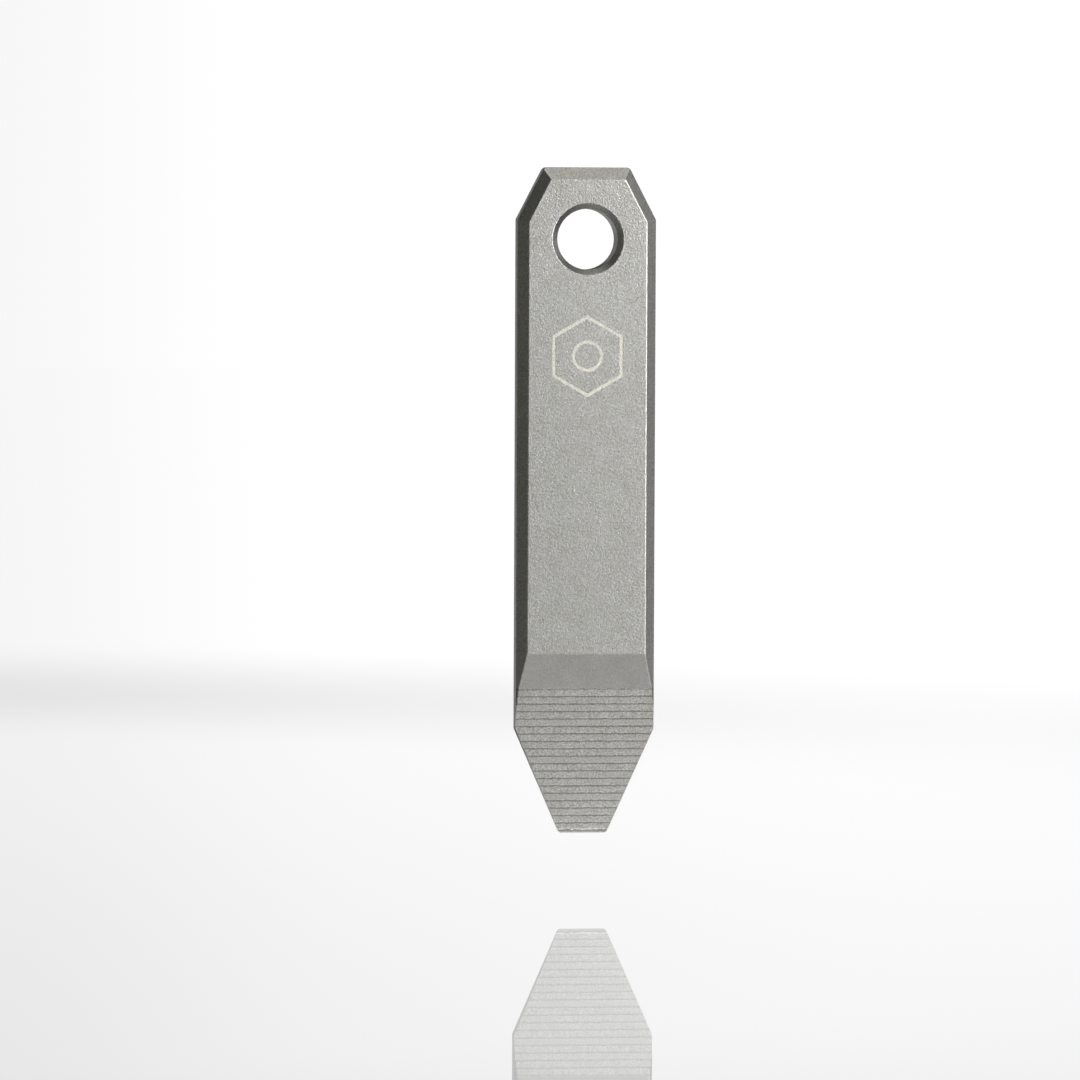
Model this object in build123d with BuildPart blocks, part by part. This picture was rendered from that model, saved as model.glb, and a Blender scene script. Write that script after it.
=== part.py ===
from build123d import *

import os
from math import cos, radians

# A keychain pry bar and bottle opener, machined from one piece of titanium plate.
# The bar stands upright: +Z runs up towards the key-ring hole, the pry tip points down,
# -Y is the front face with the thumb steps, and X runs across the width.
# The origin is the centre of the key-ring hole, halfway through the plate.
# All lengths are in millimetres.

# Plate and outline
THICKNESS = 4.5
HALF_WIDTH = 7.58
TOP_Z = 7.8
TOP_HALF_WIDTH = 4.66
SHOULDER_Z = 2.13
TAPER_START_Z = -53.4
TIP_Z = -64.87
TIP_HALF_WIDTH = 2.6
TOP_CORNER_RADIUS = 0.5
TIP_CORNER_RADIUS = 0.4

# Bevels at 45 degrees round the front and back faces, and the small round on the other edges
EDGE_BEVEL = 1.1
TOP_BEVEL = 1.3
EDGE_ROUND = 0.2

# Key-ring hole, whose rims are crisper than the other edges
HOLE_RADIUS = 3.3
HOLE_BEVEL = 0.6
HOLE_EDGE_ROUND = 0.08

# Ramp that sinks below the front face
RAMP_START_Z = -45.2
RAMP_END_Z = -48.9
RAMP_DEPTH = 0.8

# Shallow steps that thin the plate from the foot of the ramp to the tip
FOOT_RISE = 0.05
STEP_COUNT = 19
STEP_PITCH = 0.82
STEP_RISE = 0.1
STEP_SLOPE = 0.1
LAST_STEP_ABOVE_TIP = 0.28
TIP_ROUND = 0.12

# Shallow etched emblem: the plain outline of a hexagon nut
EMBLEM_Z = -12.7
EMBLEM_RADIUS = 4.45
EMBLEM_RING_RADIUS = 1.7
EMBLEM_LINE = 0.33
EMBLEM_DEPTH = 0.04
HEXAGON_SIDES = 6

# Each cutter reaches this far past the surface that it enters
OVERCUT = 1.0
TOLERANCE = 1e-3

FRONT_Y = -THICKNESS / 2
BACK_Y = THICKNESS / 2
RAMP_END_Y = FRONT_Y + RAMP_DEPTH
FIRST_LAND_Y = RAMP_END_Y + FOOT_RISE
LAST_LAND_Y = FIRST_LAND_Y + STEP_RISE * STEP_COUNT
TIP_FRONT_Y = LAST_LAND_Y + TIP_ROUND

front_plane = Plane.XZ.offset(-FRONT_Y)
back_plane = Plane.XZ.offset(-BACK_Y)


def rim_edges(bar, y):
    """The edges that lie wholly in the face of the plate at this y."""
    return bar.edges().filter_by(
        lambda edge: edge.bounding_box().max.Y < y + TOLERANCE
        and edge.bounding_box().min.Y > y - TOLERANCE
    )


def is_hole_rim(edge):
    """Whether an edge is a circle round the key-ring hole, the only circles centred near the origin."""
    return edge.geom_type == GeomType.CIRCLE and edge.arc_center.length < THICKNESS


def is_ramp_edge(edge):
    """Whether an edge is the ramp's crest or one of its two long sides."""
    box = edge.bounding_box()
    inside = box.max.Z < RAMP_START_Z + TOLERANCE and box.min.Z > RAMP_END_Z - TOLERANCE
    is_crest = box.min.Z > RAMP_START_Z - TOLERANCE
    is_side = box.size.Y > RAMP_DEPTH / 2 and box.size.Z > RAMP_DEPTH
    return inside and (is_crest or is_side)


def stair_points():
    """The stepped profile from the foot of the ramp to the front of the tip, as (y, z)."""
    points = [(RAMP_END_Y, RAMP_END_Z), (FIRST_LAND_Y, RAMP_END_Z - FOOT_RISE)]
    for i in range(STEP_COUNT):
        steps_below = STEP_COUNT - 1 - i
        step_z = TIP_Z + LAST_STEP_ABOVE_TIP + STEP_PITCH * steps_below
        land_y = FIRST_LAND_Y + STEP_RISE * i
        points.append((land_y, step_z + STEP_SLOPE / 2))
        points.append((land_y + STEP_RISE, step_z - STEP_SLOPE / 2))
    points.append((LAST_LAND_Y, TIP_Z + TIP_ROUND))
    return points


with BuildPart() as opener_bar:
    # The plate, with its slanted top corners and its tapered tip
    with BuildSketch(back_plane):
        with BuildLine():
            Polyline(
                (-TOP_HALF_WIDTH, TOP_Z),
                (TOP_HALF_WIDTH, TOP_Z),
                (HALF_WIDTH, SHOULDER_Z),
                (HALF_WIDTH, TAPER_START_Z),
                (TIP_HALF_WIDTH, TIP_Z),
                (-TIP_HALF_WIDTH, TIP_Z),
                (-HALF_WIDTH, TAPER_START_Z),
                (-HALF_WIDTH, SHOULDER_Z),
                close=True,
            )
        make_face()
    extrude(amount=THICKNESS)

    # The bevels, a wider one along the top edge
    for face_y in (FRONT_Y, BACK_Y):
        top_edge = rim_edges(opener_bar, face_y).group_by(Axis.Z)[-1]
        chamfer(rim_edges(opener_bar, face_y) - top_edge, EDGE_BEVEL)
        top_edge = rim_edges(opener_bar, face_y).group_by(Axis.Z)[-1]
        chamfer(top_edge, TOP_BEVEL)

    # The key-ring hole, with a lead-in at both ends
    with Locations(Plane.XZ):
        Hole(HOLE_RADIUS)
    chamfer(opener_bar.edges().filter_by(GeomType.CIRCLE), HOLE_BEVEL)

    # Rounded top and tip corners, then the small round on every edge
    fillet(opener_bar.edges().filter_by(Axis.Y).group_by(Axis.Z)[-1], TOP_CORNER_RADIUS)
    fillet(opener_bar.edges().filter_by(Axis.Y).group_by(Axis.Z)[0], TIP_CORNER_RADIUS)
    hole_rims = opener_bar.edges().filter_by(is_hole_rim)
    fillet(opener_bar.edges() - hole_rims, EDGE_ROUND)
    fillet(opener_bar.edges().filter_by(is_hole_rim), HOLE_EDGE_ROUND)

    # The ramp, cut down to the tip at its full depth
    with BuildSketch(Plane.YZ):
        with BuildLine():
            Polyline(
                (FRONT_Y - OVERCUT, RAMP_START_Z),
                (FRONT_Y, RAMP_START_Z),
                (RAMP_END_Y, RAMP_END_Z),
                (RAMP_END_Y, TIP_Z - OVERCUT),
                (FRONT_Y - OVERCUT, TIP_Z - OVERCUT),
                close=True,
            )
        make_face()
    extrude(amount=HALF_WIDTH + OVERCUT, both=True, mode=Mode.SUBTRACT)
    fillet(opener_bar.edges().filter_by(is_ramp_edge), EDGE_ROUND)

    # The steps, each a flat land parallel to the front face that ends in a short slope
    with BuildSketch(Plane.YZ):
        with BuildLine():
            stairs = Polyline(*stair_points())
            nose = RadiusArc(stairs @ 1, (TIP_FRONT_Y, TIP_Z), TIP_ROUND)
            Polyline(
                nose @ 1,
                (TIP_FRONT_Y, TIP_Z - OVERCUT),
                (RAMP_END_Y - OVERCUT, TIP_Z - OVERCUT),
                (RAMP_END_Y - OVERCUT, RAMP_END_Z),
                stairs @ 0,
            )
        make_face()
    extrude(amount=HALF_WIDTH + OVERCUT, both=True, mode=Mode.SUBTRACT)

    # The etched emblem
    with BuildSketch(front_plane):
        with Locations((0, EMBLEM_Z)):
            hexagon_inset = EMBLEM_LINE / cos(radians(180 / HEXAGON_SIDES))
            RegularPolygon(EMBLEM_RADIUS, HEXAGON_SIDES, rotation=30)
            RegularPolygon(EMBLEM_RADIUS - hexagon_inset, HEXAGON_SIDES, rotation=30, mode=Mode.SUBTRACT)
            Circle(EMBLEM_RING_RADIUS)
            Circle(EMBLEM_RING_RADIUS - EMBLEM_LINE, mode=Mode.SUBTRACT)
    extrude(amount=-EMBLEM_DEPTH, mode=Mode.SUBTRACT)

opener_bar.part.label = "opener_bar"
os.makedirs("parts", exist_ok=True)
export_step(opener_bar.part, "parts/opener_bar.step")
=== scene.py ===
import math

import bpy
from mathutils import Matrix, Vector


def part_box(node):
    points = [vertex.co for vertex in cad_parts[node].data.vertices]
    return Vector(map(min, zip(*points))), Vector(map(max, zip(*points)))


# A bead-blasted titanium keychain opener, floating upright just above a glossy pale floor.
# Lengths are in metres unless a name ends in _MM. Radiance 1 shows as full white.

MM = 0.001

# Features of the bar that the material follows, in the bar's own frame; its front face looks along -y
SHOULDER_Z_MM = 2.13
RAMP_START_Z_MM = -45.2
RAMP_END_Z_MM = -48.9
LAST_RISER_Z_MM = -64.59
STEP_PITCH_MM = 0.82
LEAD_IN_RADIUS_MM = 3.85
EMBLEM_Z_MM = -12.7
EMBLEM_REACH_MM = 4.6
EMBLEM_DEPTH_MM = 0.04

# Titanium: scales of noise are per millimetre, grain values are its contrast, gains multiply the colour
WARM_GREY = (0.560, 0.553, 0.516, 1)
COOL_GREY = (0.556, 0.550, 0.525, 1)
GRAIN_SCALE = 6.0
FINE_GRAIN_SCALE = 14.0
FINE_GRAIN_SHARE = 0.35
FACE_GRAIN = 1.55
RAMP_GRAIN = 0.9
EXTRA_STEP_GRAIN = 0.5
GRAIN_DEPTH_MM = 0.015
MOTTLE_SCALE = 0.45
MOTTLE_DEPTH = 0.035
# Painted light and shade: the face's colour is darker towards the ramp and paler towards the hole, and
# the ramp's colour is lighter
SHADE_GAIN_AT_RAMP = 0.955
LIGHT_GAIN_AT_HOLE = 1.02
RAMP_PAINTED_LIGHT = 1.045
STEPS_GAIN = 0.84
# Painted light: the downward-facing riser slopes are painted lighter
RISER_PAINTED_LIGHT = 1.12
# Painted shade: the hole's lead-in is painted darker
LEAD_IN_SHADE_GAIN = 0.86
EDGE_REACH_MM = 0.28
EDGE_STARTS_FACING = 0.995
EDGE_FULL_FACING = 0.96
# Edge brightening: partly rubbed wear, partly a painted highlight; at the ramp's right side a stronger
# painted highlight
EDGE_WEAR_AND_HIGHLIGHT = 0.5
RAMP_RIGHT_WEAR_AND_HIGHLIGHT = 1.0
# Painted shade: the highlight on the slanted edge at the right shoulder is painted darker
SLANTED_EDGE_SHADE_GAIN = 0.7
ETCH_SPECKLE_SCALE = 8.0
ETCH_DARK = (0.72, 0.70, 0.63, 1)
ETCH_LIGHT = (0.94, 0.92, 0.82, 1)
ROUGH_PITS = 0.46
SMOOTH_PEAKS = 0.38
SMOOTHER_WHEN_WORN = 0.05
ROUGHER_WHEN_ETCHED = 0.1

# Painted lines along the steps, painted shade in the groove at each riser and a painted highlight on
# the edge above it: the lowest and highest place above a riser, and the soft width outside
CREASE_SHADE_MM = (-0.08, 0.04, 0.06)
EDGE_HIGHLIGHT_MM = (0.10, 0.18, 0.07)
CREASE_SHADE_LOSS = 0.32
EDGE_HIGHLIGHT_GAIN = 0.05
EDGE_HIGHLIGHT_GAIN_AT_TIP = 0.14
LAST_EDGE_HIGHLIGHT_EXTRA = 0.3
LINE_WOBBLE_SCALE = 1.8
LINE_WOBBLE_MM = 0.3

# Camera, seen from the middle of the bar's front face
CAMERA_AZIMUTH = -7.2
CAMERA_DISTANCE = 0.760
CAMERA_HEIGHT = 0.0
CAMERA_LENS = 233.0
CAMERA_ROLL = 0.235
FRAME_CENTRE_Z = -0.03273
FRAME_CENTRE_LEFT_OF_BAR = 0.0051

# Floor and backdrop
FLOOR_GAP = 0.0053
FLOOR_RADIUS = 3.0
CARD_ABOVE_FLOOR = 0.0005
DOME_RADIUS = 3.2
RING_CENTRE = (-0.13, 0.03)
RING_RADIUS = 0.30
RING_NEAR_WIDTH = 0.10
RING_FAR_WIDTH = 0.14

# Painted shade, greyer at the left of the picture, by the sideways slant of the line of sight;
# it fades in over the distances from the camera called nearest and unfaded
BACKDROP_SHADE_START = -0.03
BACKDROP_SHADE_FULL = -0.09
BACKDROP_SHADE = 0.10
BACKDROP_LEVEL = 1.03
SHADE_NEAREST = 0.05
SHADE_UNFADED = 0.4
FLOOR_SHADE_START = 0.05
FLOOR_SHADE_FULL = -0.10
FLOOR_SHADE = 0.13

# Floor tones, from behind the bar towards the camera; the darker front is painted shade
FLOOR_TONE_BEHIND = 0.94
FLOOR_TONE_FRONT = 0.85
FLOOR_TONE_REACH = 0.2
RING_DEPTH_RIGHT = 0.07
RING_DEPTH_LEFT = 0.21
RING_DEPTH_REACH = 0.06
MIRROR_ROUGHNESS = 0.008
MIRROR_SHARE = 0.77

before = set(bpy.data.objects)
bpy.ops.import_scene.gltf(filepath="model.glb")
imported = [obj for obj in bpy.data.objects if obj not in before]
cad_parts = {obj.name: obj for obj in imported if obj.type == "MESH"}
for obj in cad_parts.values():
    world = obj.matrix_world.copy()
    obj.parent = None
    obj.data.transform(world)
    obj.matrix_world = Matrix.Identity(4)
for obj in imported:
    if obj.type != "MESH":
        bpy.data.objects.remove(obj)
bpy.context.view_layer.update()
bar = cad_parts["opener_bar"]
bar_low, bar_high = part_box("opener_bar")
bar_centre = (bar_low + bar_high) / 2


def compass(azimuth, elevation):
    """Unit vector from the bar to a viewer or lamp; azimuth 0 is in front, positive to the right."""
    a, e = math.radians(azimuth), math.radians(elevation)
    return Vector((math.sin(a) * math.cos(e), -math.cos(a) * math.cos(e), math.sin(e)))


def camera_position():
    position = Vector((0, bar_low.y, 0)) + compass(CAMERA_AZIMUTH, 0) * CAMERA_DISTANCE
    position.z = CAMERA_HEIGHT
    return position


def make_camera():
    data = bpy.data.cameras.new("camera")
    data.lens = CAMERA_LENS
    camera = bpy.data.objects.new("camera", data)
    bpy.context.scene.collection.objects.link(camera)
    position = camera_position()
    right = compass(CAMERA_AZIMUTH + 90, 0)
    target = Vector((0, bar_low.y, FRAME_CENTRE_Z)) - right * FRAME_CENTRE_LEFT_OF_BAR
    turn = (target - position).to_track_quat("-Z", "Y").to_matrix().to_4x4()
    roll = Matrix.Rotation(math.radians(CAMERA_ROLL), 4, "Z")
    camera.matrix_world = Matrix.Translation(position) @ turn @ roll
    bpy.context.scene.camera = camera


def grey(level):
    return (level, level, level, 1.0)


class Nodes:
    """Adds nodes to one new material, each in one call."""

    def __init__(self, name):
        self.material = bpy.data.materials.new(name)
        self.material.use_nodes = True
        self.tree = self.material.node_tree
        self.tree.nodes.clear()

    def add(self, kind, inputs=(), out=0, **settings):
        """Adds a node, sets its properties and inputs, and returns one of its outputs."""
        made = self.tree.nodes.new(kind)
        for key, value in settings.items():
            setattr(made, key, value)
        for key, value in dict(inputs).items():
            if isinstance(value, bpy.types.NodeSocket):
                self.tree.links.new(value, made.inputs[key])
            else:
                made.inputs[key].default_value = value
        return made.outputs[out]

    def math(self, operation, a, b=0.0, c=0.0):
        return self.add("ShaderNodeMath", {0: a, 1: b, 2: c}, operation=operation)

    def vector(self, operation, a, b, out=0):
        return self.add("ShaderNodeVectorMath", {0: a, 1: b}, out=out, operation=operation)

    def parts(self, vector):
        """The three components of a vector."""
        made = self.add("ShaderNodeSeparateXYZ", {0: vector}).node
        return made.outputs[0], made.outputs[1], made.outputs[2]

    def ramp(self, value, low, high, to_low=0.0, to_high=1.0, smooth=True):
        """Maps low..high onto to_low..to_high and holds the end values outside."""
        return self.add(
            "ShaderNodeMapRange",
            {"Value": value, "From Min": low, "From Max": high, "To Min": to_low, "To Max": to_high},
            interpolation_type="SMOOTHSTEP" if smooth else "LINEAR",
        )

    def band(self, value, low, high, soft):
        """1 between low and high, fading to 0 over the soft width outside."""
        rise = self.ramp(value, low - soft, low)
        fall = self.ramp(value, high, high + soft, 1.0, 0.0)
        return self.math("MULTIPLY", rise, fall)

    def every(self, *masks):
        """The product of several masks."""
        product = masks[0]
        for mask in masks[1:]:
            product = self.math("MULTIPLY", product, mask)
        return product

    def noise(self, place, scale, detail, roughness=0.5, offset=(0.0, 0.0, 0.0)):
        moved = self.vector("ADD", place, offset)
        inputs = {"Vector": moved, "Scale": scale, "Detail": detail, "Roughness": roughness}
        return self.add("ShaderNodeTexNoise", inputs)

    def mix(self, factor, a, b):
        """Blends two colours, from a where the factor is 0 to b where it is 1."""
        return self.add("ShaderNodeMix", {"Factor": factor, 6: a, 7: b}, out=2, data_type="RGBA")

    def scale(self, colour, gain):
        """A colour or any other vector, times a gain."""
        return self.add("ShaderNodeVectorMath", {0: colour, 3: gain}, operation="SCALE")

    def finish(self, shader):
        made = self.tree.nodes.new("ShaderNodeOutputMaterial")
        self.tree.links.new(shader, made.inputs["Surface"])
        return self.material


class TitaniumNodes(Nodes):
    """The metal's nodes: where a point is on the bar, which way it faces, and the grain there."""

    def __init__(self):
        super().__init__("blasted_titanium")
        metres = self.add("ShaderNodeTexCoord", out="Object")
        self.place = self.scale(metres, 1.0 / MM)
        self.x, self.y, self.z = self.parts(self.place)
        self.normal = self.add("ShaderNodeNewGeometry", out="Normal")
        self.normal_x, self.normal_y, self.normal_z = self.parts(self.normal)
        across_axis = self.math("MULTIPLY", self.x, self.x)
        self.from_hole_axis = self.math("SQRT", self.math("MULTIPLY_ADD", self.z, self.z, across_axis))
        faces_forward = self.ramp(self.normal_y, -0.4, -0.6)
        ramp_band = self.band(self.z, RAMP_END_Z_MM, RAMP_START_Z_MM, 0.15)
        below_ramp = self.ramp(self.z, RAMP_END_Z_MM, RAMP_END_Z_MM - 0.05)
        self.on_ramp = self.every(ramp_band, faces_forward)
        self.on_steps = self.every(below_ramp, faces_forward)
        self.grain = self.noise(self.place, GRAIN_SCALE, 1.0, 0.6)
        self.pits = self.pitting()
        self.contrast = self.math(
            "ADD",
            self.ramp(self.on_ramp, 0.0, 1.0, FACE_GRAIN, RAMP_GRAIN),
            self.ramp(self.on_steps, 0.0, 1.0, 0.0, EXTRA_STEP_GRAIN),
        )

    def pitting(self):
        """Coarse and fine grain together."""
        fine_grain = self.noise(self.place, FINE_GRAIN_SCALE, 0.0, offset=(7.0, 3.0, 1.0))
        coarse_part = self.math("MULTIPLY", self.grain, 1.0 - FINE_GRAIN_SHARE)
        return self.math("MULTIPLY_ADD", fine_grain, FINE_GRAIN_SHARE, coarse_part)

    def scale_where(self, colour, mask, gain):
        """The colour times the gain where the mask is 1."""
        return self.scale(colour, self.ramp(mask, 0.0, 1.0, 1.0, gain))


def blasted_colour(n):
    """The pitted grey, with slow changes of tone over a few millimetres, and painted light and shade:
    darker towards the ramp, paler towards the hole, and lighter on the ramp itself.
    """
    mottle = n.noise(n.place, MOTTLE_SCALE, 3.0, 0.55, offset=(2.0, 9.0, 4.0))
    grain_gain = n.math("MULTIPLY_ADD", n.math("SUBTRACT", n.pits, 0.5), n.contrast, 1.0)
    mottle_gain = n.ramp(mottle, 0.3, 0.7, 1.0 - MOTTLE_DEPTH, 1.0 + MOTTLE_DEPTH)
    # Painted shading: darker towards the ramp, paler towards the hole, and painted light on the ramp
    painted_light_by_height = n.ramp(n.z, RAMP_START_Z_MM, 0.0, SHADE_GAIN_AT_RAMP, LIGHT_GAIN_AT_HOLE, smooth=False)
    painted_ramp_light = n.ramp(n.on_ramp, 0.0, 1.0, 1.0, RAMP_PAINTED_LIGHT)
    colour = n.mix(n.ramp(mottle, 0.35, 0.65), WARM_GREY, COOL_GREY)
    return n.scale(colour, n.every(grain_gain, mottle_gain, painted_light_by_height, painted_ramp_light))


def with_step_lines(n, colour):
    """Painted shade: a dark line in the groove at each riser; painted highlight: a light line on the
    edge above it, lighter towards the tip. The riser slopes are painted lighter, and the stepped part
    is darker overall.
    """
    wobble = n.noise(n.place, LINE_WOBBLE_SCALE, 2.0, 0.6, offset=(5.0, 5.0, 8.0))
    wobbled_z = n.math("MULTIPLY_ADD", n.math("SUBTRACT", wobble, 0.5), LINE_WOBBLE_MM, n.z)
    steps_up = n.math("DIVIDE", n.math("SUBTRACT", wobbled_z, LAST_RISER_Z_MM), STEP_PITCH_MM)
    above_riser = n.math("MULTIPLY", n.math("WRAP", steps_up, 0.5, -0.5), STEP_PITCH_MM)
    # Painted shade in the groove at each riser, and a painted highlight on the edge above it
    painted_crease_shade = n.every(n.band(above_riser, *CREASE_SHADE_MM), n.on_steps)
    painted_edge_highlight = n.every(n.band(above_riser, *EDGE_HIGHLIGHT_MM), n.on_steps)
    above_last = n.math("SUBTRACT", n.z, LAST_RISER_Z_MM)
    highlight_gain = n.math(
        "ADD",
        n.ramp(above_last, 6.0, 0.9, EDGE_HIGHLIGHT_GAIN, EDGE_HIGHLIGHT_GAIN_AT_TIP),
        n.ramp(above_last, 0.6, 0.3, 0.0, LAST_EDGE_HIGHLIGHT_EXTRA),
    )
    on_riser = n.every(n.on_steps, n.ramp(n.normal_z, -0.3, -0.5))
    colour = n.scale(colour, n.math("MULTIPLY_ADD", painted_crease_shade, -CREASE_SHADE_LOSS, 1.0))
    colour = n.scale(colour, n.math("MULTIPLY_ADD", painted_edge_highlight, highlight_gain, 1.0))
    colour = n.scale_where(colour, on_riser, RISER_PAINTED_LIGHT)
    return n.scale_where(colour, n.on_steps, STEPS_GAIN)


def rubbed_and_highlit_edges(n):
    """1 in broken spots along the edges above the steps."""
    softened = n.add("ShaderNodeBevel", {"Radius": EDGE_REACH_MM * MM}, samples=4)
    facing = n.vector("DOT_PRODUCT", softened, n.normal, out="Value")
    above_steps = n.ramp(n.z, RAMP_END_Z_MM, RAMP_END_Z_MM + 0.3)
    at_edge = n.ramp(facing, EDGE_STARTS_FACING, EDGE_FULL_FACING)
    return n.every(at_edge, n.ramp(n.grain, 0.4, 0.6), above_steps)


def with_rubbed_and_highlit_edges(n, colour, worn_and_highlit):
    """Edges are brighter, partly rubbed wear and partly a painted highlight, most of all at the right
    side of the ramp, where the extra brightness is a painted highlight.
    """
    # Partly rubbed wear, partly painted highlight; the ramp's right side gets a stronger painted
    # highlight
    beside_ramp = n.band(n.z, RAMP_END_Z_MM, RAMP_START_Z_MM, 0.3)
    ramp_right = n.every(beside_ramp, n.ramp(n.normal_x, 0.05, 0.15))
    wear_and_highlight_gain = n.ramp(ramp_right, 0.0, 1.0, EDGE_WEAR_AND_HIGHLIGHT, RAMP_RIGHT_WEAR_AND_HIGHLIGHT)
    return n.scale(colour, n.math("MULTIPLY_ADD", worn_and_highlit, wear_and_highlight_gain, 1.0))


def with_painted_shade_on_lead_in_and_slant(n, colour):
    """Painted shade: the hole's machined lead-in and the slanted edge at the right shoulder are painted
    a little darker.
    """
    lead_in = n.math("LESS_THAN", n.from_hole_axis, LEAD_IN_RADIUS_MM)
    beyond_hole = n.ramp(n.from_hole_axis, LEAD_IN_RADIUS_MM + 0.3, LEAD_IN_RADIUS_MM + 0.5)
    above_shoulder = n.ramp(n.z, SHOULDER_Z_MM - 0.3, SHOULDER_Z_MM + 0.3)
    slanted_edge = n.every(n.band(n.normal_x, 0.2, 0.5, 0.08), above_shoulder, beyond_hole)
    colour = n.scale_where(colour, lead_in, LEAD_IN_SHADE_GAIN)
    return n.scale_where(colour, slanted_edge, SLANTED_EDGE_SHADE_GAIN)


def emblem_floor(n):
    """1 on the floor of the emblem's etched lines."""
    floor_y = bar_low.y / MM + EMBLEM_DEPTH_MM
    sunk = n.band(n.y, floor_y - EMBLEM_DEPTH_MM / 3, floor_y + EMBLEM_DEPTH_MM / 2, 0.005)
    from_centre_height = n.math("ABSOLUTE", n.math("SUBTRACT", n.z, EMBLEM_Z_MM))
    return n.every(
        sunk,
        n.math("LESS_THAN", from_centre_height, EMBLEM_REACH_MM),
        n.math("LESS_THAN", n.math("ABSOLUTE", n.x), EMBLEM_REACH_MM),
    )


def with_etching(n, colour, etched):
    """The emblem is etched to a paler, cream-grey speckle."""
    speckle = n.ramp(n.noise(n.place, ETCH_SPECKLE_SCALE, 1.0, offset=(1.0, 6.0, 2.0)), 0.35, 0.6)
    return n.mix(etched, colour, n.mix(speckle, ETCH_DARK, ETCH_LIGHT))


def blasted_titanium():
    n = TitaniumNodes()
    worn_and_highlit = rubbed_and_highlit_edges(n)
    etched = emblem_floor(n)
    colour = with_step_lines(n, blasted_colour(n))
    colour = with_rubbed_and_highlit_edges(n, colour, worn_and_highlit)
    colour = with_painted_shade_on_lead_in_and_slant(n, colour)
    colour = with_etching(n, colour, etched)
    rough = n.ramp(n.pits, 0.3, 0.7, ROUGH_PITS, SMOOTH_PEAKS, smooth=False)
    rough = n.math("MULTIPLY_ADD", worn_and_highlit, -SMOOTHER_WHEN_WORN, rough)
    rough = n.math("MULTIPLY_ADD", etched, ROUGHER_WHEN_ETCHED, rough)
    height = n.math("MULTIPLY", n.pits, n.contrast)
    bump = n.add("ShaderNodeBump", {"Height": height, "Strength": 1.0, "Distance": GRAIN_DEPTH_MM * MM})
    shader = n.add(
        "ShaderNodeBsdfPrincipled",
        {"Base Color": colour, "Metallic": 1.0, "Roughness": rough, "Normal": bump},
    )
    return n.finish(shader)


def left_shade(n, place, start, full):
    """Mask of the painted shade: 0 up to the slant where the shade starts, rising to 1 at the slant
    where it is full.
    """
    from_camera = n.vector("SUBTRACT", place, camera_position())
    across = n.vector("DOT_PRODUCT", from_camera, compass(CAMERA_AZIMUTH + 90, 0), out="Value")
    away = n.vector("DOT_PRODUCT", from_camera, compass(CAMERA_AZIMUTH + 180, 0), out="Value")
    slant = n.math("DIVIDE", across, n.math("MAXIMUM", away, SHADE_NEAREST))
    ahead = n.ramp(away, SHADE_NEAREST, SHADE_UNFADED)
    return n.every(n.ramp(slant, start, full), ahead)


def floor_material():
    """
    Glossy pale floor with a faint grey ring and painted shade, darker towards the camera and at the
    left of the picture. It glows rather than being lit, so that the floating bar leaves no shadow on
    it, and only
    to the camera: the bar is lit from below by the floor cards instead.
    """
    n = Nodes("floor_gloss")
    place = n.add("ShaderNodeNewGeometry", out="Position")
    from_ring_centre = n.vector("DISTANCE", place, (*RING_CENTRE, bar_low.z - FLOOR_GAP), out="Value")
    towards_camera = n.vector("DOT_PRODUCT", place, compass(CAMERA_AZIMUTH, 0), out="Value")
    beyond = n.ramp(from_ring_centre, RING_RADIUS, RING_RADIUS + RING_FAR_WIDTH)
    near_shade = left_shade(n, place, FLOOR_SHADE_START, FLOOR_SHADE_FULL)
    far_shade = left_shade(n, place, BACKDROP_SHADE_START, BACKDROP_SHADE_FULL)
    # Painted shade: the floor's tone darker towards the camera and at the left of the picture
    near_tone = n.ramp(
        towards_camera, -FLOOR_TONE_REACH, FLOOR_TONE_REACH, FLOOR_TONE_BEHIND, FLOOR_TONE_FRONT
    )
    near_tone = n.math("MULTIPLY_ADD", near_shade, -FLOOR_SHADE, near_tone)
    far_tone = n.math("MULTIPLY_ADD", far_shade, -BACKDROP_SHADE, 1.0)
    tone = n.ramp(beyond, 0.0, 1.0, near_tone, far_tone, smooth=False)
    ring = n.math(
        "MULTIPLY",
        n.ramp(from_ring_centre, RING_RADIUS - RING_NEAR_WIDTH, RING_RADIUS),
        n.ramp(from_ring_centre, RING_RADIUS, RING_RADIUS + RING_FAR_WIDTH, 1.0, 0.0),
    )
    across = n.vector("DOT_PRODUCT", place, compass(CAMERA_AZIMUTH + 90, 0), out="Value")
    ring_depth = n.ramp(
        across, RING_DEPTH_REACH, -RING_DEPTH_REACH, RING_DEPTH_RIGHT, RING_DEPTH_LEFT
    )
    tone = n.math("SUBTRACT", tone, n.math("MULTIPLY", ring, ring_depth))
    glow = n.add("ShaderNodeEmission", {"Color": tone, "Strength": 1.0})
    shine = n.add("ShaderNodeBsdfGlossy", {"Color": grey(1.0), "Roughness": MIRROR_ROUGHNESS})
    fresnel = n.add("ShaderNodeFresnel", {"IOR": 1.45})
    share = n.math("MULTIPLY", fresnel, MIRROR_SHARE)
    glossy_floor = n.add("ShaderNodeMixShader", {0: share, 1: glow, 2: shine})
    unlit = n.add("ShaderNodeBsdfDiffuse", {"Color": grey(0.0)})
    seen = n.add("ShaderNodeLightPath", out="Is Camera Ray")
    return n.finish(n.add("ShaderNodeMixShader", {0: seen, 1: unlit, 2: glossy_floor}))


def dome_material():
    """White backdrop, with painted shade making it a touch greyer at the far left of the picture."""
    n = Nodes("backdrop_white")
    place = n.add("ShaderNodeNewGeometry", out="Position")
    shade = left_shade(n, place, BACKDROP_SHADE_START, BACKDROP_SHADE_FULL)
    level = n.math("MULTIPLY_ADD", shade, -BACKDROP_SHADE, BACKDROP_LEVEL)
    return n.finish(n.add("ShaderNodeEmission", {"Color": level, "Strength": 1.0}))


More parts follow.
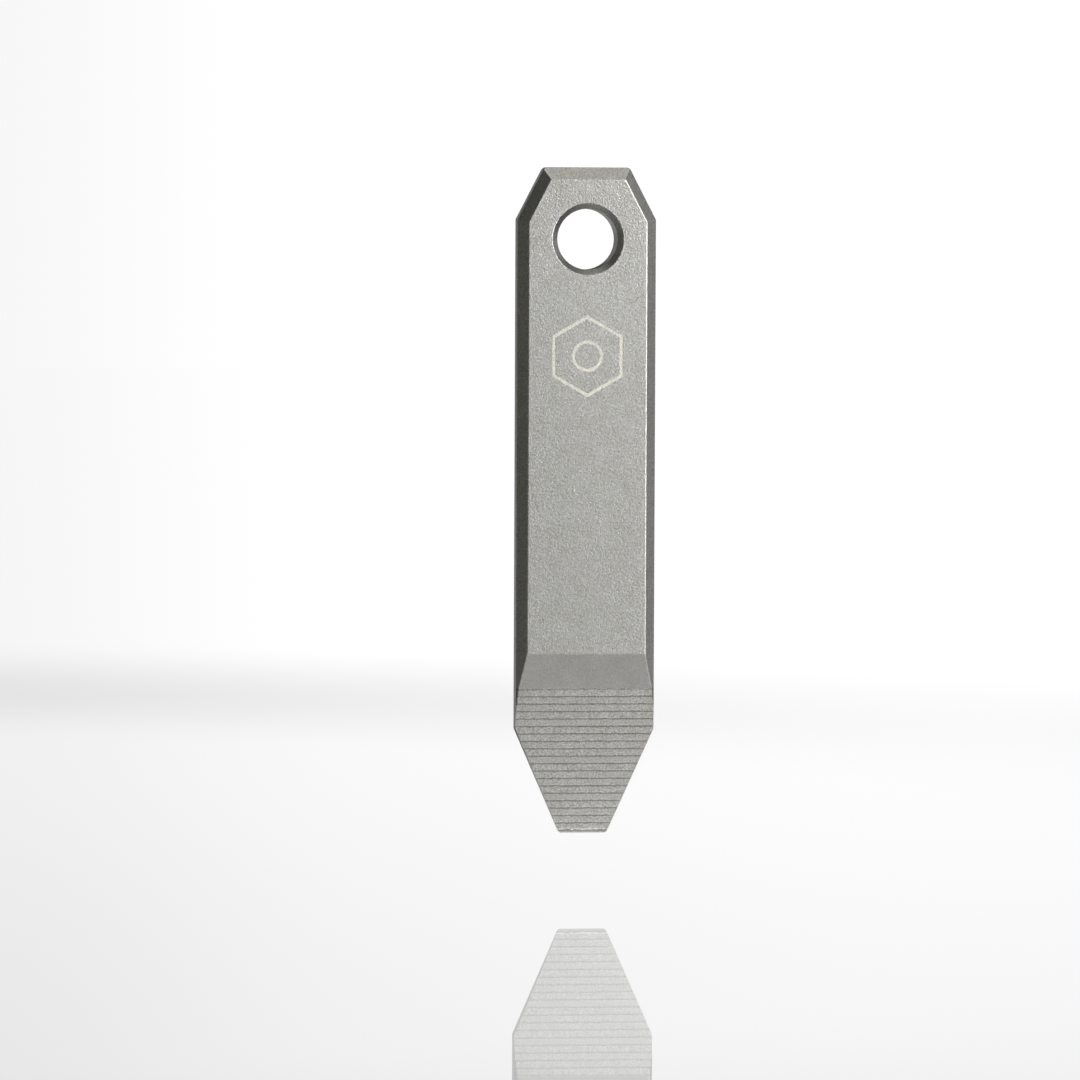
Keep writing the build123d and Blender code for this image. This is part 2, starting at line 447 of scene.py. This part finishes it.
def stage_newest(name, material):
    """Names the object that was just made and gives it its material."""
    made = bpy.context.object
    made.name = name
    made.data.materials.append(material)
    return made


def disc(name, radius, z, material):
    bpy.ops.mesh.primitive_circle_add(vertices=96, radius=radius, fill_type="NGON", location=(0, 0, z))
    return stage_newest(name, material)


def dome(name, radius, material):
    bpy.ops.mesh.primitive_uv_sphere_add(segments=48, ring_count=24, radius=radius, location=bar_centre)
    bpy.ops.object.shade_smooth()
    return stage_newest(name, material)


def only_lights(light, *objects):
    """Makes this lamp or glowing object light these objects and nothing else."""
    chosen = bpy.data.collections.new(light.name + "_lights")
    for item in objects:
        chosen.objects.link(item)
    light.light_linking.receiver_collection = chosen


def area_lamp(name, width, height, radiance):
    data = bpy.data.lights.new(name, "AREA")
    data.shape = "RECTANGLE"
    data.size, data.size_y = width, height
    data.energy = radiance * math.pi * width * height
    lamp = bpy.data.objects.new(name, data)
    lamp.visible_camera = False
    bpy.context.scene.collection.objects.link(lamp)
    only_lights(lamp, bar)
    return lamp


def softbox(name, azimuth, elevation, distance, width, height, radiance, tint=(1.0, 1.0, 1.0)):
    """A lamp that faces the bar from the given direction."""
    lamp = area_lamp(name, width, height, radiance)
    lamp.data.color = tint
    towards = compass(azimuth, elevation)
    lamp.location = bar_centre + towards * distance
    lamp.rotation_mode = "QUATERNION"
    lamp.rotation_quaternion = towards.to_track_quat("Z", "Y")


def floor_card(name, x, y, width, depth, radiance):
    """A lamp that lies on the floor and faces up, like the light that a pale floor throws back."""
    lamp = area_lamp(name, width, depth, radiance)
    lamp.location = Vector((x, y, bar_low.z - FLOOR_GAP + CARD_ABOVE_FLOOR))
    lamp.rotation_euler = (math.pi, 0, 0)


bar.data.materials.clear()
bar.data.materials.append(blasted_titanium())

floor = disc("floor", FLOOR_RADIUS, bar_low.z - FLOOR_GAP, floor_material())
backdrop = dome("backdrop", DOME_RADIUS, dome_material())
only_lights(backdrop, floor)

world = bpy.data.worlds.new("studio")
bpy.context.scene.world = world
world.use_nodes = True
world.node_tree.nodes["Background"].inputs["Strength"].default_value = 0.0

make_camera()
bpy.context.scene.view_settings.view_transform = "Standard"

# Softboxes: azimuth, elevation, distance, width, height, radiance
softbox("key_box", 32, 8, 1.0, 0.25, 0.9, 14.6)
softbox("right_front", 68, 5, 1.0, 0.3, 0.9, 3.0)
softbox("right_fill", 97, 5, 1.0, 0.5, 0.9, 0.11)
softbox("left_fill", -83, 10, 1.0, 0.5, 0.9, 0.17, tint=(1.0, 1.01, 0.9))
softbox("back_fill", -165, 5, 1.0, 0.4, 0.9, 0.43)
softbox("top_box", 0, 88, 0.8, 0.7, 0.7, 0.84, tint=(1.0, 1.01, 0.96))

# Floor cards: place across and away from the camera, width, depth, radiance
floor_card("front_card", 0, -0.045, 0.12, 0.07, 0.49)
floor_card("under_card", 0, 0, 0.03, 0.02, 1.0)
floor_card("back_card", -0.05, 0.45, 0.4, 0.7, 0.5)
floor_card("near_back_card", 0.02, 0.05, 0.08, 0.08, 0.5)
floor_card("left_front_card", -0.15, -0.15, 0.24, 0.24, 0.3)
floor_card("right_back_card", 0.2, 0.2, 0.36, 0.36, 0.5)
